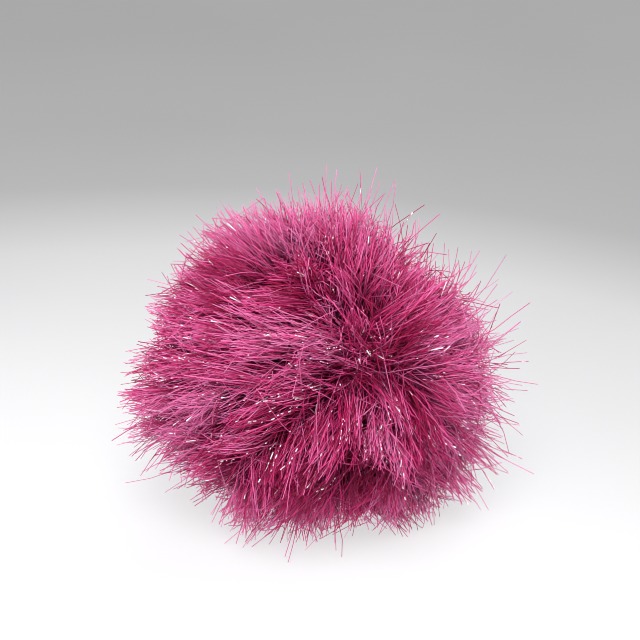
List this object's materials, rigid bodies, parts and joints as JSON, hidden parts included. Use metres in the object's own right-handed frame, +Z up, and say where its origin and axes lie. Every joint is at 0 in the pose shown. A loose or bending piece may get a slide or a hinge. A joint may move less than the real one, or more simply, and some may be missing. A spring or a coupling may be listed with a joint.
{
  "type": "yarn pom pom",
  "caption": "Loose round pom pom of long cut fur yarn, parted at the front and flattened a little where it rests.",
  "frame": {"origin": "on the surface that the pom pom rests on, under the middle of its bounding box", "axes": "+Z up; -Y is the front, where the locks part from the crown; +X to the right seen from the front"},
  "size_m": [0.0956, 0.0936, 0.0804],
  "materials": {
    "yarn": "raspberry pink polyester fur yarn with a soft gloss and thin silver tinsel threads"
  },
  "bodies": {
    "root": {"pom_pom": "yarn"}
  },
  "joints": []
}
